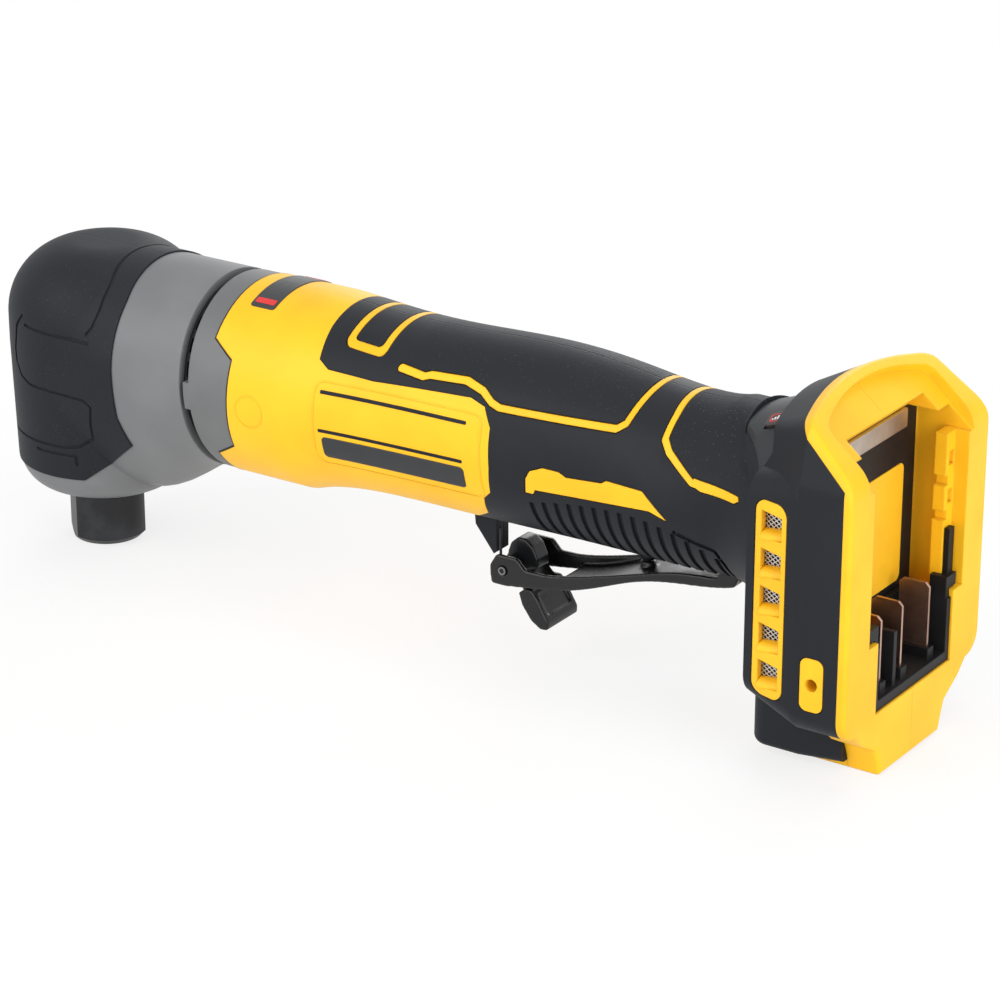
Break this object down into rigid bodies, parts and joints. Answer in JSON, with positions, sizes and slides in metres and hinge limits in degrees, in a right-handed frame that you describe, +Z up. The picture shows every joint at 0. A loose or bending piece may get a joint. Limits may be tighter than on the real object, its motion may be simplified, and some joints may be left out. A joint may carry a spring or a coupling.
{
  "type": "cordless right-angle die grinder",
  "caption": "Cordless right-angle die grinder: bevel-gear head with collet, motor barrel, paddle switch with lock-off lever and a slide-pack battery foot.",
  "frame": {"origin": "centre of the collet's mouth, on the lower face of the collet nut", "axes": "+X along the motor towards the battery foot, +Z up the spindle away from the mouth, -Y to the near side"},
  "size_m": [0.3043, 0.076, 0.1053],
  "materials": {
    "yellow_shell": "fine satin moulding",
    "grip_rubber": "matte overmould",
    "gear_case_metal": "satin grey coat on cast alloy",
    "grey_plastic": "satin moulding",
    "black_plastic": "matte moulding",
    "bearing_steel": "ground",
    "black_steel": "black oxide",
    "spring_steel": "drawn wire",
    "lamination_steel": "stacked sheets",
    "copper": "tinned copper",
    "label_film": "plain film",
    "button_red": "soft gloss key"
  },
  "bodies": {
    "housing": {"left_housing": "yellow_shell", "right_housing": "yellow_shell", "left_grip": "grip_rubber", "right_grip": "grip_rubber", "gear_case": "gear_case_metal", "head_boot": "grip_rubber", "bearing_retainer": "bearing_steel", "lower_spindle_bearing": "bearing_steel", "upper_spindle_bearing": "bearing_steel", "front_motor_bearing": "bearing_steel", "rear_motor_bearing": "bearing_steel", "vent_ring": "grey_plastic", "vent_baffle": "black_plastic", "stator": "lamination_steel", "stator_windings": "copper", "bay_plate": "black_plastic", "rating_label": "label_film", "latch_strike": "bearing_steel", "terminal_block": "black_plastic", "terminal_blades": "copper", "left_vent_mesh": "bearing_steel", "right_vent_mesh": "bearing_steel", "control_module": "black_plastic", "motor_leads": "black_plastic", "housing_screws": "black_steel", "switch_body": "black_plastic", "paddle_hinge_pin": "bearing_steel", "button_panel": "black_plastic"},
    "rotor": {"rotor": "lamination_steel", "motor_shaft": "bearing_steel", "cooling_fan": "black_plastic", "bevel_pinion": "bearing_steel"},
    "spindle": {"spindle": "bearing_steel", "bevel_gear": "bearing_steel", "collet": "bearing_steel", "collet_nut": "black_steel"},
    "paddle": {"paddle_lever": "black_steel", "lock_off_pin": "bearing_steel", "lock_off_spring": "spring_steel"},
    "lock_off": {"lock_off_lever": "black_plastic"},
    "plunger": {"switch_plunger": "black_plastic"},
    "button": {"speed_button": "button_red"}
  },
  "joints": [
    {"name": "rotor_spin", "type": "hinge", "parent": "housing", "child": "rotor", "pos_m": [0.05, 0, 0.065], "axis": [1, 0, 0], "continuous": true},
    {"name": "spindle_spin", "type": "hinge", "parent": "housing", "child": "spindle", "pos_m": [0, 0, 0.03], "axis": [0, 0, 1], "continuous": true},
    {"name": "paddle_squeeze", "type": "hinge", "parent": "housing", "child": "paddle", "pos_m": [0.228, 0, 0.047], "axis": [0, 1, 0], "range_deg": [0, 6], "stiffness_Nm_per_rad": 1.2, "springref_deg": -8.59},
    {"name": "lock_off_swing", "type": "hinge", "parent": "paddle", "child": "lock_off", "pos_m": [0.1529, 0, 0.0267], "axis": [0, -1, 0], "range_deg": [0, 25], "stiffness_Nm_per_rad": 0.02, "springref_deg": -17.19},
    {"name": "plunger_slide", "type": "slide", "parent": "housing", "child": "plunger", "axis": [0, 0, 1], "range_m": [0, 0.0046]},
    {"name": "button_press", "type": "slide", "parent": "housing", "child": "button", "axis": [0.3149, 0.3567, -0.8795], "range_m": [0, 0.0008], "stiffness_N_per_m": 900, "springref_m": -0.0006}
  ],
  "couplings": [
    {"joint": "spindle_spin", "follows": "rotor_spin", "ratio": 0.75},
    {"joint": "plunger_slide", "follows": "paddle_squeeze", "m_per_rad": 0.033}
  ]
}
